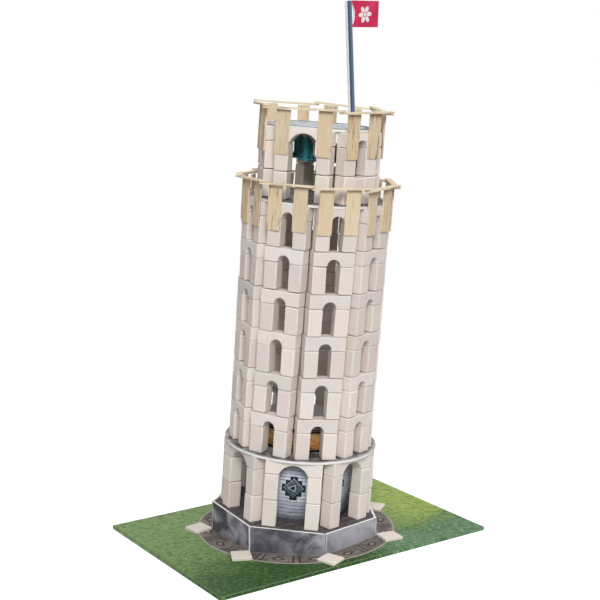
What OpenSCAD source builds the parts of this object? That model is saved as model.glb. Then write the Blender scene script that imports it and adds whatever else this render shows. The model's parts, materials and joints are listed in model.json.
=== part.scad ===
// Leaning bell tower built from small bricks on a printed baseboard.
// The baseboard lies on z = 0 and its centre is the origin; +X is its long side.
// Everything above the wedge-shaped plinth stands square to the plinth's sloping top.

/* [Baseboard] */
// Length of the baseboard
board_l = 220; // [190:1:280]
// Width of the baseboard
board_w = 150; // [145:1:220]
// Thickness of the baseboard
board_t = 2.7; // [1.5:0.1:4]
// Offset of the tower's centre from the board's centre, along X
tower_x = -1.5; // [-5:0.5:5]
// Offset of the tower's centre from the board's centre, along Y
tower_y = 1.5; // [-5:0.5:5]

/* [Plinth] */
// Corner radius of the seven-sided plinth
plinth_r = 59.7; // [56:0.1:64]
// Height of the plinth at its centre
plinth_h = 17.3; // [14:0.1:22]
// Direction of the plinth's first corner
plinth_turn = -156; // [-180:1:180]
// Lean of the tower away from plumb
lean = 3.8; // [0:0.1:5]
// Direction in which the tower leans
lean_turn = -50; // [-180:1:180]
// Gap left at the plinth wall's closing corner
seam_gap = 0.8; // [0.3:0.1:1.5]
// Side of a square paving tile
tile_s = 13.6; // [10:0.1:16]
// Thickness of a paving tile
tile_t = 2; // [1:0.1:3]
// Gap between a tile and the plinth's corner
tile_gap = 0.1; // [0.1:0.1:2]

/* [Card] */
// Thickness of the card sheets, discs and bells
card_t = 1.5; // [1:0.1:2]
// Thickness of the rolled card sleeves
roll_t = 1; // [0.5:0.1:1.5]

/* [Bricks] */
// Width and depth of a pillar brick, and depth of an arch brick
brick_w = 9.6; // [8:0.1:11.5]
// Height of a pillar brick
pillar_h = 18.7; // [15:0.1:23]
// Height of an arch brick
arch_h = 9.6; // [8.5:0.1:12]
// Length of a large arch brick
large_w = 38.6; // [32:0.1:40]
// Rise of a large arch brick's opening
large_rise = 7; // [4:0.1:8]
// Length of a small arch brick
small_w = 27.9; // [25:0.1:30]
// Straight part below the round of a small arch brick's opening
small_stilt = 0.5; // [0:0.1:1]
// Gap between the inner corners of neighbouring bays
bay_gap = 0.4; // [0.2:0.1:1]
// Distance that the first disc's edge stays inside the outer corners of its arch bricks
first_disc_trim = 0.4; // [0:0.1:1]
// Distance that the two upper discs' edges stay inside the faces that the slats are glued to
upper_disc_trim = 0.1; // [0.1:0.1:2]

/* [Storeys] */
// Direction of the first bay of the ground storey
ground_turn = -129; // [-180:1:180]
// Direction of the first bay of the lowest gallery
gallery_turn = -112.5; // [-180:0.5:180]
// Turn of each gallery past the one below
gallery_twist = 0.8; // [0:0.1:2]
// Direction of the first large bay of the belfry
belfry_turn = -144.5; // [-180:0.5:180]
// Gap between the ground pillars and the core drum
drum_gap = 3.4; // [2:0.1:8]
// Outer radius of the sleeve in the lowest gallery
sleeve_r = 32; // [26:0.5:34]
// Height of the sleeve in the lowest gallery
sleeve_h = 16; // [10:0.5:20]
// Height of a sill brick's top below the top of the lower pillars
sill_drop = 0.8; // [0:0.1:3]
// Clearance on each side of a sill brick
sill_gap = 0.2; // [0.1:0.1:0.5]

/* [Fences] */
// Width of a wooden slat
slat_w = 9.7; // [9:0.1:12.5]
// Length of a wooden slat
slat_l = 29.8; // [25:0.1:35]
// Thickness of the slats and battens
slat_t = 1.2; // [0.8:0.1:1.5]
// Height of the slats' tops above the roof sheet that they surround
slat_rise = 11.2; // [8:0.1:16]
// Width of a batten
batten_w = 4.5; // [3:0.1:6]
// Length that a batten runs past the crossing with its neighbour
batten_over = 1.6; // [1:0.1:5]
// Clearance between battens where they cross
batten_gap = 0.25; // [0.1:0.05:0.5]

/* [Flag] */
// Width of the flagpole
pole_w = 4.6; // [3:0.1:6]
// Length of the flagpole
pole_l = 83; // [60:1:100]
// Tilt of the flagpole across the bay that it stands on
pole_tilt = 8.3; // [0:0.1:10]
// Width of the flag
flag_w = 23.4; // [18:0.1:28]
// Height of the flag
flag_h = 16.6; // [12:0.1:20]
// Droop of the flag from square to its pole
flag_droop = 5; // [0:0.5:8]
// Height of the slit between the flag and its pole
slit_h = 13; // [8:0.1:14]
// Width of the slit between the flag and its pole
slit_w = 2.2; // [1:0.1:3]

/* [Bells] */
// Height of a bell from its rim to the top of its dome
bell_h = 15.8; // [12:0.1:18]
// Width of a bell's body
bell_w = 10.8; // [8:0.1:12]
// Width of a bell's rim
rim_w = 16.4; // [12.5:0.1:17]
// Height of a bell's straight rim
rim_h = 2; // [1:0.1:3]
// Height over which the body flares out to the rim
flare_h = 3; // [2:0.1:5]
// Radius of the lug at the top of a bell
lug_r = 1.5; // [1.2:0.1:2]
// Distance from a bell's pivot down to the top of its dome
lug_h = 1.2; // [1:0.1:2]
// Direction that the bells' faces point in
bell_turn = -167.5; // [-180:0.5:180]
// Diameter of a bell hook's wire
wire_d = 0.8; // [0.6:0.1:1]
// Radial running clearance between a hook and a bell's hole
wire_clear = 0.05; // [0.02:0.01:0.1]
// Distance from a bell's pivot along its hook to the hook's upright
hook_reach = 1.9; // [1.8:0.1:2.5]
// Height of the hook's turned-up tip above its wire
hook_tip = 0.9; // [0.5:0.1:1.2]
// Distance that the front bell's pivot hangs below the roof disc
hook_drop = 5.2; // [4:0.1:7]

/* [Hidden] */

$fn = 64;

ground_bays = 7;
gallery_bays = 9;
belfry_bays = 6;
galleries = 6;
seam_corner = 1;

// Turn of each paving tile from square to its corner of the plinth.
tile_turns = [40, 35, 45, 38, 50, 0, 35];

// Cutters run this far past the faces that they open, and joined outlines overlap by the weld.
cut = 1;
weld = 0.01;
// Side of a cube that covers the whole plinth.
wide = 4 * plinth_r;

// Inner faces of the bays stand on these distances from the tower's axis.
ground_in = (large_w + bay_gap) / 2 / tan(180 / ground_bays);
gallery_in = (small_w + bay_gap) / 2 / tan(180 / gallery_bays);
large_in = (large_w + 2 * small_w + 3 * bay_gap) * sqrt(3) / 6;
small_in = (2 * large_w + small_w + 3 * bay_gap) * sqrt(3) / 6;

// Heights above the plinth's top, along the tower's axis.
ground_h = 2 * pillar_h + arch_h;
gallery_h = pillar_h + arch_h;
first_floor = ground_h + card_t;
second_disc_z = first_floor + galleries * gallery_h;
belfry_floor = second_disc_z + card_t;
roof_z = belfry_floor + 2 * pillar_h + arch_h;

first_disc_r = norm([ground_in + brick_w, large_w / 2]) - first_disc_trim;
second_disc_r = gallery_in + brick_w - upper_disc_trim;
roof_disc_r = large_in + brick_w - upper_disc_trim;

drum_r = ground_in - drum_gap;

// A bell's place: distance from the axis, direction, and how far its pivot hangs below the others.
front_bell_at = [16, -160, 0];
side_bell_at = [6, -36, -1.2];
rear_bell_at = [18.8, 105.5, -0.6];

function gallery_floor(i) = first_floor + i * gallery_h;
function gallery_angle(i) = gallery_turn + i * gallery_twist;

// Angle at which a bell turned to face this way hangs plumb on the leaning tower.
plumb_swing = atan(tan(lean) * cos(lean_turn - bell_turn - 90));

// ---- placing ----

module on_board() {
    translate([tower_x, tower_y, board_t]) children();
}

// The tower's own upright frame, with z = 0 on the plinth's top.
module on_plinth() {
    translate([tower_x, tower_y, board_t + plinth_h])
        rotate(a = lean, v = [-sin(lean_turn), cos(lean_turn), 0])
            children();
}

// The frame of one bay: +X points outwards and y runs along its face.
module at_bay(turn, out, z) {
    rotate([0, 0, turn]) translate([out, 0, z]) children();
}

// ---- bricks ----

module pillar_pair(width) {
    for (side = [-1, 1])
        translate([0, side * (width - brick_w) / 2 - brick_w / 2, 0])
            cube([brick_w, brick_w, pillar_h]);
}

module large_arch() {
    half = large_w / 2 - brick_w;
    r = (half * half + large_rise * large_rise) / (2 * large_rise);
    difference() {
        translate([0, -large_w / 2, 0]) cube([brick_w, large_w, arch_h]);
        translate([-cut, 0, large_rise - r]) rotate([0, 90, 0])
            cylinder(h = brick_w + 2 * cut, r = r);
    }
}

module small_arch() {
    half = small_w / 2 - brick_w;
    difference() {
        translate([0, -small_w / 2, 0]) cube([brick_w, small_w, arch_h]);
        translate([-cut, 0, small_stilt]) rotate([0, 90, 0]) cylinder(h = brick_w + 2 * cut, r = half);
        translate([-cut, -half, -cut]) cube([brick_w + 2 * cut, 2 * half, small_stilt + cut]);
    }
}

// One ring of alternating bays of the belfry; first = 0 gives the large bays and 1 the small.
module belfry_ring(first, z) {
    for (i = [first : 2 : belfry_bays - 1])
        at_bay(belfry_turn + i * 360 / belfry_bays, first == 0 ? large_in : small_in, z)
            children();
}

module ground_ring(z) {
    for (i = [0 : ground_bays - 1])
        at_bay(ground_turn + i * 360 / ground_bays, ground_in, z) children();
}

module gallery_ring(storey, z) {
    for (i = [0 : gallery_bays - 1])
        at_bay(gallery_angle(storey) + i * 360 / gallery_bays, gallery_in, z) children();
}

module ground_pillars(course) {
    color("linen") on_plinth() ground_ring(course * pillar_h) pillar_pair(large_w);
}

module gallery_pillars(storey) {
    color("linen") on_plinth() gallery_ring(storey, gallery_floor(storey)) pillar_pair(small_w);
}

module gallery_arches(storey) {
    color("antiquewhite") on_plinth()
        gallery_ring(storey, gallery_floor(storey) + pillar_h) small_arch();
}

module belfry_pillars(course) {
    color("linen") on_plinth() {
        belfry_ring(0, belfry_floor + course * pillar_h) pillar_pair(large_w);
        belfry_ring(1, belfry_floor + course * pillar_h) pillar_pair(small_w);
    }
}

// ---- base ----

module baseboard() {
    color("olivedrab") translate([-board_l / 2, -board_w / 2, 0]) cube([board_l, board_w, board_t]);
}

function plinth_corner(i, r) = let (a = plinth_turn + i * 360 / ground_bays) [r * cos(a), r * sin(a)];

module plinth_outline(r) {
    polygon([for (i = [0 : ground_bays - 1]) plinth_corner(i, r)]);
}

// Distance from a turned tile's centre to its nearest and furthest points along the radius.
function tile_reach(turn) = tile_s / 2 * (abs(cos(turn)) + abs(sin(turn)));

module paving_tiles() {
    color("mistyrose") on_board()
        for (i = [0 : ground_bays - 1])
            rotate([0, 0, plinth_turn + i * 360 / ground_bays])
                translate([plinth_r + tile_gap + tile_reach(tile_turns[i]), 0, tile_t / 2])
                    rotate([0, 0, tile_turns[i]]) cube([tile_s, tile_s, tile_t], center = true);
}

plinth_in = plinth_r - card_t / cos(180 / ground_bays);

// A folded strip with one open corner, its top edge cut to the slope.
module plinth_wall() {
    color("slategray") difference() {
        on_board() linear_extrude(2 * plinth_h) difference() {
            plinth_outline(plinth_r);
            plinth_outline(plinth_in);
        }
        on_plinth() translate([-wide / 2, -wide / 2, 0]) cube(wide);
        on_board() rotate([0, 0, plinth_turn + seam_corner * 360 / ground_bays])
            translate([plinth_in - 2 * card_t, -seam_gap / 2, -cut])
                cube([plinth_r, seam_gap, 2 * (plinth_h + cut)]);
    }
}

// The sloping sheet that closes the plinth, glued edge to edge inside its wall.
module plinth_top() {
    color("dimgray") intersection() {
        on_board() linear_extrude(2 * plinth_h) plinth_outline(plinth_in);
        on_plinth() translate([-wide / 2, -wide / 2, -card_t]) cube([wide, wide, card_t]);
    }
}

// ---- ground storey ----

module sleeve(r, h) {
    difference() {
        cylinder(h = h, r = r);
        translate([0, 0, -cut]) cylinder(h = h + 2 * cut, r = r - roll_t);
    }
}

module core_drum() {
    color("lightsteelblue") on_plinth() sleeve(drum_r, ground_h);
}

module ground_lower_pillars() { ground_pillars(0); }
module ground_upper_pillars() { ground_pillars(1); }

module ground_arches() {
    color("antiquewhite") on_plinth() ground_ring(2 * pillar_h) large_arch();
}

module first_disc() {
    color("lightgray") on_plinth() translate([0, 0, ground_h])
        cylinder(h = card_t, r = first_disc_r, $fn = 96);
}

// ---- galleries ----

module inner_sleeve() {
    color("sienna") on_plinth() translate([0, 0, first_floor]) sleeve(sleeve_r, sleeve_h);
}

module second_disc() {
    color("darkgray") on_plinth() translate([0, 0, second_disc_z])
        cylinder(h = card_t, r = second_disc_r, $fn = 96);
}

// ---- fences ----

// Two slats and the batten that lies on them, for a side whose batten crosses its neighbours' at
// a distance of half from the middle. The batten's far end is raised to lie over the next one.
function batten_tilt(half, apothem_angle) =
    asin((slat_t + batten_gap) / (2 * half - batten_w * tan(apothem_angle)));

module slat_pair(width, tilt, top) {
    for (side = [-1, 1])
        translate([brick_w, side * (width - brick_w) / 2 - slat_w / 2,
                   top - slat_l + (side * (width - brick_w) / 2 - slat_w / 2) * tan(tilt)])
            cube([slat_t, slat_w, slat_l]);
}

module batten(half, tilt, top) {
    length = 2 * half + 2 * batten_over;
    translate([brick_w, 0, top]) rotate([tilt, 0, 0]) translate([0, -length / 2, 0])
        cube([batten_w, length, slat_t]);
}

batten_mid = brick_w + batten_w / 2;
gallery_side = (gallery_in + batten_mid) * tan(180 / gallery_bays);
large_side = ((small_in + batten_mid) * 2 - (large_in + batten_mid)) / sqrt(3);
small_side = ((large_in + batten_mid) * 2 - (small_in + batten_mid)) / sqrt(3);
gallery_tilt = batten_tilt(gallery_side, 180 / gallery_bays);
// Both kinds of belfry side rise by the same amount between their crossings.
small_tilt = batten_tilt(small_side, 180 / belfry_bays);
large_tilt = asin(small_side * sin(small_tilt) / large_side);

lower_rail_z = belfry_floor + slat_rise;
upper_rail_z = roof_z + card_t + slat_rise;

module lower_fence_slats() {
    color("burlywood") on_plinth() gallery_ring(galleries - 1, 0)
        slat_pair(small_w, gallery_tilt, lower_rail_z);
}

module lower_fence_battens() {
    color("wheat") on_plinth() gallery_ring(galleries - 1, 0)
        batten(gallery_side, gallery_tilt, lower_rail_z);
}

module upper_fence_slats() {
    color("burlywood") on_plinth() {
        belfry_ring(0, 0) slat_pair(large_w, large_tilt, upper_rail_z);
        belfry_ring(1, 0) slat_pair(small_w, small_tilt, upper_rail_z);
    }
}

module upper_fence_battens() {
    color("wheat") on_plinth() {
        belfry_ring(0, 0) batten(large_side, large_tilt, upper_rail_z);
        belfry_ring(1, 0) batten(small_side, small_tilt, upper_rail_z);
    }
}

// ---- belfry ----

module belfry_lower_pillars() { belfry_pillars(0); }
module belfry_upper_pillars() { belfry_pillars(1); }

// A brick that fills the lower part of each small bay.
module belfry_sills() {
    width = small_w - 2 * brick_w - 2 * sill_gap;
    color("linen") on_plinth() belfry_ring(1, belfry_floor)
        translate([0, -width / 2, 0]) cube([brick_w, width, pillar_h - sill_drop]);
}

module belfry_large_arches() {
    color("antiquewhite") on_plinth() belfry_ring(0, belfry_floor + 2 * pillar_h) large_arch();
}

module belfry_small_arches() {
    color("antiquewhite") on_plinth() belfry_ring(1, belfry_floor + 2 * pillar_h) small_arch();
}

module roof_disc() {
    color("lightslategray") on_plinth() difference() {
        translate([0, 0, roof_z]) cylinder(h = card_t, r = roof_disc_r, $fn = 96);
        for (place = [front_bell_at, side_bell_at, rear_bell_at])
            at_bell(place) translate([0, hook_reach, 0]) cylinder(h = 2 * hook_drop + card_t, d = wire_d);
    }
}

// ---- flag ----

// One flat piece of card: a pole with a flag beside its top and a crescent slit between them.
module flag_outline() {
    translate([-pole_w / 2, 0]) square([pole_w, pole_l]);
    difference() {
        translate([pole_w / 2 - weld, pole_l]) rotate(-flag_droop) translate([0, -flag_h])
            square([flag_w, flag_h]);
        translate([pole_w / 2, pole_l - flag_h / 2]) intersection() {
            translate([slit_w - slit_bow_r, 0]) circle(r = slit_bow_r, $fn = 96);
            translate([0, -slit_h / 2]) square([slit_w, slit_h]);
        }
        translate([-pole_w / 2, pole_l - 2 * flag_h]) square([pole_w, 2 * flag_h]);
    }
}

slit_bow_r = (slit_h * slit_h / 4 + slit_w * slit_w) / (2 * slit_w);

// It stands on an arch brick against a slat of the small bay that comes after the first large one.
module flag_and_pole() {
    color("crimson") on_plinth() at_bay(belfry_turn + 360 / belfry_bays, small_in + brick_w, roof_z)
        translate([0, -(small_w - brick_w) / 2, 0])
            intersection() {
                translate([0, 0, pole_w / 2 * sin(pole_tilt)]) rotate([pole_tilt, 0, 0])
                    rotate([90, 0, -90]) mirror([1, 0, 0]) linear_extrude(card_t) flag_outline();
                translate([-card_t - cut, -pole_l, 0]) cube([card_t + cut, 2 * pole_l, 2 * pole_l]);
            }
}

// ---- bells ----

// A bell's frame: the origin is its pivot, z is up and the wire runs along y.
module at_bell(place) {
    rotate([0, 0, place[1]]) translate([place[0], 0, roof_z - hook_drop + place[2]])
        rotate([0, 0, bell_turn - place[1] - 90]) children();
}

module bell_outline() {
    dome_z = -lug_h - bell_w / 2;
    rim_z = -lug_h - bell_h;
    difference() {
        union() {
            circle(r = lug_r);
            translate([0, dome_z]) circle(d = bell_w);
            translate([-lug_r, dome_z]) square([2 * lug_r, -dome_z]);
            polygon([
                [-bell_w / 2, dome_z], [-bell_w / 2, rim_z + rim_h + flare_h],
                [-rim_w / 2, rim_z + rim_h], [-rim_w / 2, rim_z],
                [rim_w / 2, rim_z], [rim_w / 2, rim_z + rim_h],
                [bell_w / 2, rim_z + rim_h + flare_h], [bell_w / 2, dome_z]
            ]);
        }
        circle(d = wire_d + 2 * wire_clear);
    }
}

module bell(place) {
    color("teal") on_plinth() at_bell(place) rotate([0, plumb_swing, 0])
        translate([0, card_t / 2, 0]) rotate([90, 0, 0]) linear_extrude(card_t) bell_outline();
}

// A wire that hangs from a hole in the roof disc and turns to pass through the bell's lug.
module bell_hook(place) {
    color("silver") on_plinth() at_bell(place) {
        rotate([90, 0, 0]) translate([0, 0, -hook_reach]) cylinder(h = 2 * hook_reach, d = wire_d);
        translate([0, hook_reach, 0]) {
            sphere(d = wire_d);
            cylinder(h = hook_drop - place[2] + card_t, d = wire_d);
        }
        translate([0, -hook_reach, 0]) {
            sphere(d = wire_d);
            cylinder(h = hook_tip, d = wire_d);
        }
    }
}

module front_bell_hook() { bell_hook(front_bell_at); }
module side_bell_hook() { bell_hook(side_bell_at); }
module rear_bell_hook() { bell_hook(rear_bell_at); }
module front_bell() { bell(front_bell_at); }
module side_bell() { bell(side_bell_at); }
module rear_bell() { bell(rear_bell_at); }

// ---- nodes ----

baseboard();
paving_tiles();
plinth_wall();
plinth_top();
core_drum();
ground_lower_pillars();
ground_upper_pillars();
ground_arches();
first_disc();
inner_sleeve();
gallery_pillars(0);  // gallery_1_pillars
gallery_arches(0);  // gallery_1_arches
gallery_pillars(1);  // gallery_2_pillars
gallery_arches(1);  // gallery_2_arches
gallery_pillars(2);  // gallery_3_pillars
gallery_arches(2);  // gallery_3_arches
gallery_pillars(3);  // gallery_4_pillars
gallery_arches(3);  // gallery_4_arches
gallery_pillars(4);  // gallery_5_pillars
gallery_arches(4);  // gallery_5_arches
gallery_pillars(5);  // gallery_6_pillars
gallery_arches(5);  // gallery_6_arches
second_disc();
lower_fence_slats();
lower_fence_battens();
belfry_lower_pillars();
belfry_sills();
belfry_upper_pillars();
belfry_large_arches();
belfry_small_arches();
roof_disc();
upper_fence_slats();
upper_fence_battens();
flag_and_pole();
front_bell_hook();
side_bell_hook();
rear_bell_hook();
front_bell();
side_bell();
rear_bell();
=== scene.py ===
"""The looks of a leaning bell tower built from small cast bricks on a printed baseboard.

Lengths are in metres unless a name ends in _mm. Three mesh attributes carry what the materials need:
own_mm is a point's place in its piece's own frame, in millimetres; chance is three random numbers for
each solid; and edge is 1 on the rounded edges and 0 elsewhere.
"""

from __future__ import annotations

import json
import logging
import math
import random
from dataclasses import dataclass, field, replace
from enum import Enum
from typing import Callable, Iterable

import bmesh
import bpy
from mathutils import Matrix, Vector


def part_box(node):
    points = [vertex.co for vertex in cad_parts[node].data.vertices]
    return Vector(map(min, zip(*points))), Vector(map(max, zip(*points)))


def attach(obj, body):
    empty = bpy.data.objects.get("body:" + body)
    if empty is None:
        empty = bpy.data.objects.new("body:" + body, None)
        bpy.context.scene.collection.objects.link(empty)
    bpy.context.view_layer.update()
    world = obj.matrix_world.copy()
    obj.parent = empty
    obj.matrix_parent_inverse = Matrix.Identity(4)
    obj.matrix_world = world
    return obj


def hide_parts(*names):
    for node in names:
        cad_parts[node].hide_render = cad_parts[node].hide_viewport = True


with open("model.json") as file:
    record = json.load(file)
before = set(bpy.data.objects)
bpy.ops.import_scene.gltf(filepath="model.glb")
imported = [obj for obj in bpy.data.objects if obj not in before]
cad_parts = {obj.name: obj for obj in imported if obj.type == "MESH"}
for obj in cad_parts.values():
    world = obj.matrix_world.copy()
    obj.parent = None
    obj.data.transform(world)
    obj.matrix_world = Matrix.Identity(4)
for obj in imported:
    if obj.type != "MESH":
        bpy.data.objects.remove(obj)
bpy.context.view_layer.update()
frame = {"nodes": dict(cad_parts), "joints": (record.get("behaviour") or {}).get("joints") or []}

LOG = logging.getLogger("tower")
MM = 0.001
OWN = "own_mm"
CHANCE = "chance"
EDGE = "edge"
TOWER = "tower"

Colour = tuple[float, float, float]
Input = float | tuple[float, ...] | bpy.types.NodeSocket
OwnFrame = Callable[[Vector], Vector]


# ---------------------------------------------------------------- node wiring


class Graph:
    """Adds nodes to one node tree and wires them."""

    def __init__(self, tree: bpy.types.NodeTree) -> None:
        """Starts on a tree.

        Args:
            tree: the material's, world's or group's node tree.
        """
        self.tree = tree

    def feed(self, socket: bpy.types.NodeSocket, value: Input) -> None:
        """Links or sets one input socket.

        Args:
            socket: the input.
            value: a socket to link, or a number or tuple to set.
        """
        if isinstance(value, bpy.types.NodeSocket):
            self.tree.links.new(value, socket)
        elif socket.type == "RGBA" and len(value) == 3:
            socket.default_value = (*value, 1.0)
        else:
            socket.default_value = value

    def node(self, kind: str, settings: dict | None = None, **inputs: Input) -> bpy.types.Node:
        """Adds a node.

        Args:
            kind: the node's type name.
            settings: its properties.
            inputs: its named inputs, with _ for a space.

        Returns:
            The node.
        """
        made = self.tree.nodes.new(kind)
        for name, value in (settings or {}).items():
            setattr(made, name, value)
        for name, value in inputs.items():
            self.feed(made.inputs[name.replace("_", " ")], value)
        return made

    def math(self, operation: str, *values: Input, clamp: bool = False) -> bpy.types.NodeSocket:
        """Adds a math node.

        Args:
            operation: Blender's name for the operation.
            values: its inputs in order.
            clamp: whether the result stays from 0 to 1.

        Returns:
            The result.
        """
        made = self.node("ShaderNodeMath", {"operation": operation, "use_clamp": clamp})
        for socket, value in zip(made.inputs, values):
            self.feed(socket, value)
        return made.outputs[0]

    def blend(self, factor: Input, a: Input, b: Input) -> bpy.types.NodeSocket:
        """Mixes two colours.

        Args:
            factor: how much of b.
            a: the first colour.
            b: the second colour.

        Returns:
            The mixed colour.
        """
        made = self.node("ShaderNodeMix", {"data_type": "RGBA"})
        for index, value in ((0, factor), (6, a), (7, b)):
            self.feed(made.inputs[index], value)
        return made.outputs[2]

    def tint(self, colour: Input, mask: Input, amount: Input, shade: Input) -> bpy.types.NodeSocket:
        """Lays a shade over a colour.

        Args:
            colour: the colour under it.
            mask: where the shade lies.
            amount: how much of it shows where the mask is 1.
            shade: the shade.

        Returns:
            The mixed colour.
        """
        return self.blend(self.math("MULTIPLY", mask, amount), colour, shade)

    def toned(self, colour: Input, chance: Input, least: float, spread: float) -> bpy.types.NodeSocket:
        """Makes a colour lighter or darker.

        Args:
            colour: the colour.
            chance: a random number from 0 to 1.
            least: the brightness when it is 0.
            spread: how much more the brightness is when it is 1.

        Returns:
            The changed colour.
        """
        tone = self.math("MULTIPLY_ADD", chance, spread, least)
        return self.node("ShaderNodeHueSaturation", Value=tone, Color=colour).outputs[0]

    def rise(self, value: Input, low: Input, high: Input) -> bpy.types.NodeSocket:
        """A smooth step.

        Args:
            value: the number that is tested.
            low: where the result is 0.
            high: where the result is 1; it may be below low.

        Returns:
            A mask from 0 to 1.
        """
        made = self.node("ShaderNodeMapRange", {"interpolation_type": "SMOOTHSTEP"})
        for name, given in (("Value", value), ("From Min", low), ("From Max", high)):
            self.feed(made.inputs[name], given)
        return made.outputs["Result"]

    def band(self, value: Input, centre: Input, half: float, soft: float) -> bpy.types.NodeSocket:
        """A stripe.

        Args:
            value: the coordinate across the stripe.
            centre: the stripe's middle.
            half: half its width.
            soft: the width of its soft edge.

        Returns:
            A mask that is 1 in the stripe.
        """
        away = self.math("ABSOLUTE", self.math("SUBTRACT", value, centre))
        return self.rise(away, half + soft, half)

    def product(self, *masks: Input) -> bpy.types.NodeSocket:
        """Multiplies masks."""
        total = masks[0]
        for mask in masks[1:]:
            total = self.math("MULTIPLY", total, mask)
        return total

    def union(self, *masks: Input) -> bpy.types.NodeSocket:
        """The largest of several masks."""
        total = masks[0]
        for mask in masks[1:]:
            total = self.math("MAXIMUM", total, mask)
        return total

    def length(self, x: Input, y: Input) -> bpy.types.NodeSocket:
        """How far a place is from the origin."""
        return self.math("SQRT", self.math("MULTIPLY_ADD", x, x, self.math("MULTIPLY", y, y)))

    def noise(self, at: Input, scale: float, detail: float = 3.0,
              stretch: tuple[float, float, float] = (1, 1, 1), distortion: float = 0.0
              ) -> bpy.types.NodeSocket:
        """Noise that may be stretched.

        Args:
            at: where, in millimetres.
            scale: features per millimetre.
            detail: octaves.
            stretch: a factor on each coordinate.
            distortion: how much the noise is bent.

        Returns:
            A number from 0 to 1.
        """
        placed = self.node("ShaderNodeMapping", Vector=at, Scale=stretch).outputs[0]
        made = self.node("ShaderNodeTexNoise", Vector=placed, Scale=scale, Detail=detail,
                         Distortion=distortion)
        return made.outputs["Fac"]

    def cells(self, at: Input, scale: float) -> bpy.types.NodeSocket:
        """Distance to the nearest of scattered points."""
        return self.node("ShaderNodeTexVoronoi", Vector=at, Scale=scale).outputs["Distance"]

    def split(self, vector: Input) -> tuple[bpy.types.NodeSocket, ...]:
        """A vector's three numbers."""
        return tuple(self.node("ShaderNodeSeparateXYZ", Vector=vector).outputs)

    def scaled(self, vector: Input, factor: Input) -> bpy.types.NodeSocket:
        """A vector times a number."""
        return self.node("ShaderNodeVectorMath", {"operation": "SCALE"}, Vector=vector,
                         Scale=factor).outputs[0]

    def joined(self, x: Input, y: Input) -> bpy.types.NodeSocket:
        """A flat vector from two numbers."""
        return self.node("ShaderNodeCombineXYZ", X=x, Y=y).outputs[0]

    def attribute(self, name: str) -> bpy.types.Node:
        """The node that reads one of the meshes' attributes."""
        return self.node("ShaderNodeAttribute", {"attribute_name": name})

    def own(self) -> bpy.types.NodeSocket:
        """The place in the piece's own frame, in millimetres."""
        return self.attribute(OWN).outputs["Vector"]

    def chances(self) -> tuple[bpy.types.NodeSocket, ...]:
        """The solid's three random numbers."""
        return self.split(self.attribute(CHANCE).outputs["Vector"])

    def edge(self) -> bpy.types.NodeSocket:
        """The mask of the rounded edges."""
        return self.attribute(EDGE).outputs["Fac"]

    def effect(self, tree: bpy.types.NodeTree, **inputs: Input) -> bpy.types.NodeOutputs:
        """Places a shared effect.

        Args:
            tree: the effect's node group.
            inputs: values for its named inputs.

        Returns:
            The placed group's outputs.
        """
        return self.node("ShaderNodeGroup", {"node_tree": tree}, **inputs).outputs


# ---------------------------------------------------------------- shared effects


class Draft(Graph):
    """A node group that is being wired as a shared effect, with a Place input in millimetres."""

    def __init__(self, name: str, inputs: dict[str, float], outputs: Iterable[str]) -> None:
        """Starts the group.

        Args:
            name: the group's name.
            inputs: its other inputs and their usual values.
            outputs: its outputs.
        """
        super().__init__(bpy.data.node_groups.new(name, "ShaderNodeTree"))
        sockets = self.tree.interface
        sockets.new_socket("Place", in_out="INPUT", socket_type="NodeSocketVector")
        for label, usual in inputs.items():
            made = sockets.new_socket(label, in_out="INPUT", socket_type="NodeSocketFloat")
            made.default_value = usual
        for label in outputs:
            sockets.new_socket(label, in_out="OUTPUT", socket_type="NodeSocketFloat")
        self.given = self.node("NodeGroupInput").outputs
        self.out = self.node("NodeGroupOutput").inputs

    def give(self, **results: Input) -> bpy.types.NodeTree:
        """Wires the outputs.

        Args:
            results: what each named output gives.

        Returns:
            The finished group.
        """
        for label, value in results.items():
            self.feed(self.out[label], value)
        return self.tree


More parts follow.
